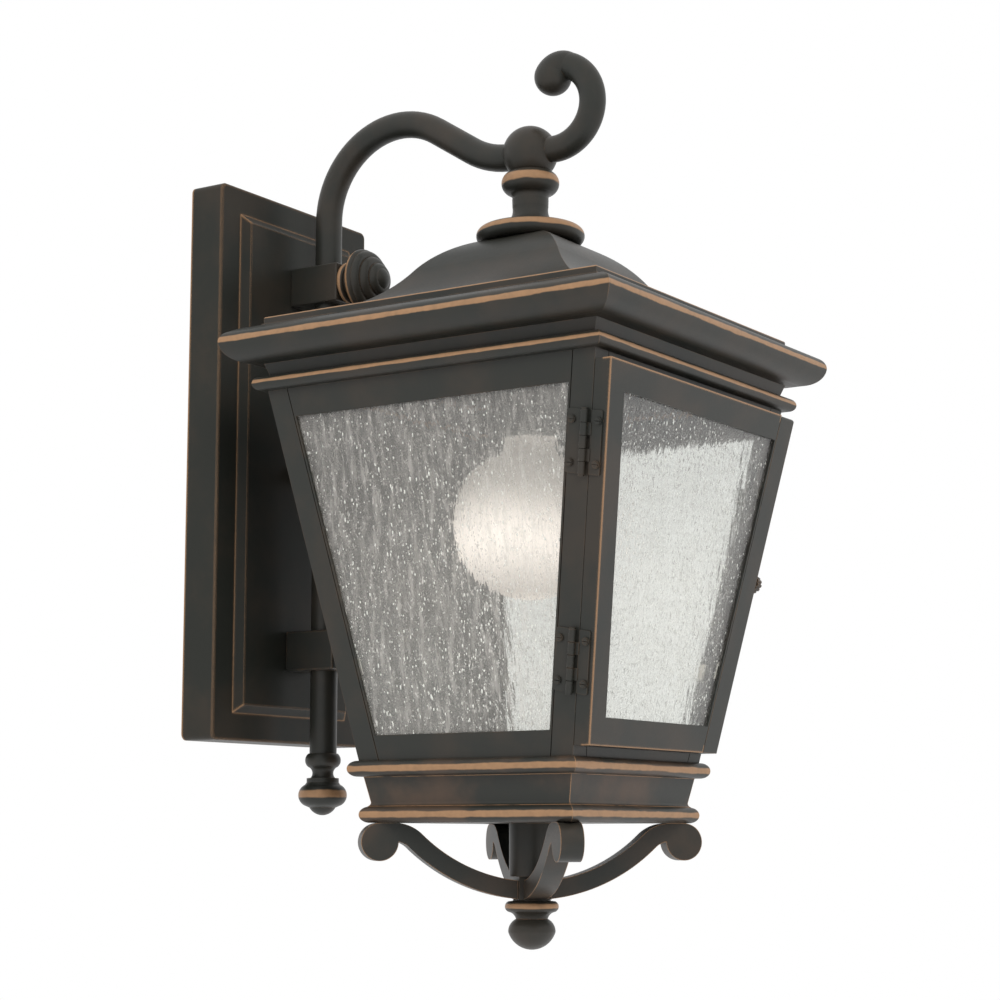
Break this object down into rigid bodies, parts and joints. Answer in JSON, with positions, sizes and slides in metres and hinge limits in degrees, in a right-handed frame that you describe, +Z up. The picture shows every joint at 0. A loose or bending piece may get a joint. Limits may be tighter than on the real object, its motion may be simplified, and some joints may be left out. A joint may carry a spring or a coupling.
{
  "type": "outdoor wall lantern",
  "caption": "Wall lantern on a curved arm: tapered four-sided glazed body with a hinged door, moulded eave, ogee roof, scroll hook, scrolled base straps and a turned finial.",
  "frame": {"origin": "middle of the backplate's outline, on the wall plane the backplate sits against", "axes": "+Z up the wall, +Y into the wall, +X to the right for someone who faces the wall; the lantern hangs out along -Y and its door faces -Y"},
  "size_m": [0.2202, 0.2801, 0.4457],
  "materials": {
    "bronze": "satin",
    "rubbed_bronze": "satin",
    "seeded_glass": "gloss",
    "bulb_glass": "satin",
    "cap_metal": "satin",
    "holder_plastic": "matte",
    "lead_sleeve": "matte",
    "gasket_rubber": "matte",
    "plated_steel": "satin",
    "brass_parts": "satin"
  },
  "bodies": {
    "lantern": {"arm_tube": "bronze", "back_panel": "bronze", "backplate": "bronze", "ball_coupling": "bronze", "bar_studs": "plated_steel", "base_band": "rubbed_bronze", "base_bottom_bead": "rubbed_bronze", "base_top_bead": "rubbed_bronze", "block_screws": "plated_steel", "body_hinge_leaves": "bronze", "body_hinge_screws": "bronze", "bottom_finial": "rubbed_bronze", "cap_nuts": "bronze", "centre_stud": "plated_steel", "clamp_knob": "rubbed_bronze", "earth_screw": "brass_parts", "eave_moulding": "rubbed_bronze", "floor_plate": "bronze", "front_panel": "bronze", "glass_clips": "plated_steel", "glass_left": "seeded_glass", "glass_right": "seeded_glass", "hinge_pins": "bronze", "hub_post": "bronze", "lampholder_body": "holder_plastic", "lampholder_contact": "brass_parts", "lower_arm_block": "bronze", "mounting_bar": "plated_steel", "neck_spool": "rubbed_bronze", "nipple_nut": "plated_steel", "rod_finial": "rubbed_bronze", "roof_disc": "rubbed_bronze", "roof_shell": "bronze", "scroll_end": "bronze", "scroll_strap_back_left": "rubbed_bronze", "scroll_strap_back_right": "rubbed_bronze", "scroll_strap_front_left": "rubbed_bronze", "scroll_strap_front_right": "rubbed_bronze", "side_panel_left": "bronze", "side_panel_right": "bronze", "stile_back_left": "bronze", "stile_back_right": "bronze", "stile_front_left": "bronze", "stile_front_right": "bronze", "stud_cap_nut": "bronze", "supply_lead": "lead_sleeve", "terminal_block": "holder_plastic", "threaded_nipple": "plated_steel", "top_bead": "rubbed_bronze", "upper_arm_block": "bronze", "wall_gasket": "gasket_rubber"},
    "door": {"door_frame": "bronze", "door_latch_stile": "bronze", "door_glass": "seeded_glass", "door_glass_clips": "plated_steel", "door_hinge_leaves": "bronze", "door_hinge_screws": "bronze"},
    "thumbscrew": {"latch_thumbscrew": "bronze"},
    "bulb": {"bulb_envelope": "bulb_glass", "bulb_cap": "cap_metal"}
  },
  "joints": [
    {"name": "door_swing", "type": "hinge", "parent": "lantern", "child": "door", "pos_m": [-0.0785, -0.24374, -0.0659], "axis": [0.1771, 0.1771, -0.9681], "range_deg": [0, 110]},
    {"name": "thumbscrew_turn", "type": "hinge", "parent": "door", "child": "thumbscrew", "pos_m": [0.0764, -0.2506, -0.066], "axis": [0.9837, 0, -0.18], "range_deg": [0, 720]},
    {"name": "bulb_withdraw", "type": "slide", "parent": "lantern", "child": "bulb", "axis": [0, 0, -1], "range_m": [0, 0.032]}
  ]
}
